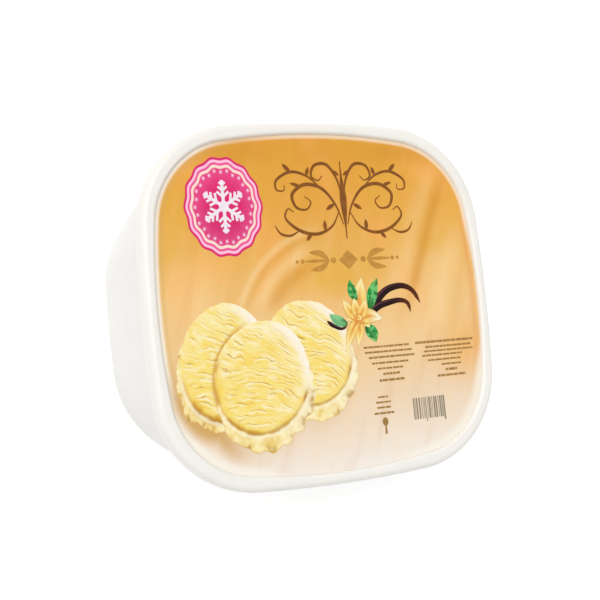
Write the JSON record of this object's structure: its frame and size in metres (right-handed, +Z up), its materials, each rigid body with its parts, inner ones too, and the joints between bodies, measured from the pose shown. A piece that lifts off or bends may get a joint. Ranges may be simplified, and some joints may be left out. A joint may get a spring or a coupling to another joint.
{
  "type": "ice cream tub",
  "caption": "Shut rounded-square plastic ice cream tub with tapering walls, a push-on lid with a raised ridge and skirt, and a printed film set into the lid's sunk panel.",
  "frame": {"origin": "on the floor under the middle of the lid, at the centre of the flat base", "axes": "+Z up through the lid, +Y towards the top of the lid's print, +X towards the print's right-hand side"},
  "size_m": [0.176, 0.1656, 0.1],
  "materials": {
    "tub_plastic": "satin white moulded polypropylene",
    "lid_plastic": "satin-gloss white moulded polypropylene",
    "label_print": "printed film, satin gloss"
  },
  "bodies": {
    "root": {"tub": "tub_plastic", "lid": "lid_plastic", "lid_label": "label_print"}
  },
  "joints": []
}
